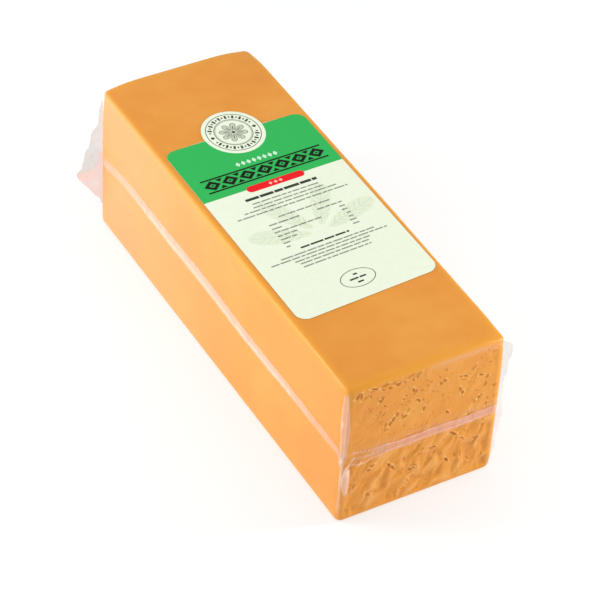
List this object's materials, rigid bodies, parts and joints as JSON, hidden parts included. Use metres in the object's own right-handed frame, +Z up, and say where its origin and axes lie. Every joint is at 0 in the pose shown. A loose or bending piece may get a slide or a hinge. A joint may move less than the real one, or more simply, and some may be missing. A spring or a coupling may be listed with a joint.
{
  "type": "vacuum packed cheddar block",
  "caption": "Long block of red cheddar in tight clear film with a pressed weld seam, film ears at its corners, torn curd on the ends and a flat die-cut label on top.",
  "frame": {"origin": "centre of the block's flat base, on the surface that it rests on", "axes": "+Y along the loaf towards its back end, +X to the right seen from the torn front end, +Z up"},
  "size_m": [0.1239, 0.2773, 0.0946],
  "materials": {
    "cheese": "smooth red cheddar under tight clear film, torn curd on the ends",
    "film": "clear barrier film, milky where it is welded or lies in folds",
    "label": "smooth printed label paper, green head over a pale green body"
  },
  "bodies": {
    "root": {"cheese_block": "cheese", "film_seam": "film", "label": "label"}
  },
  "joints": []
}
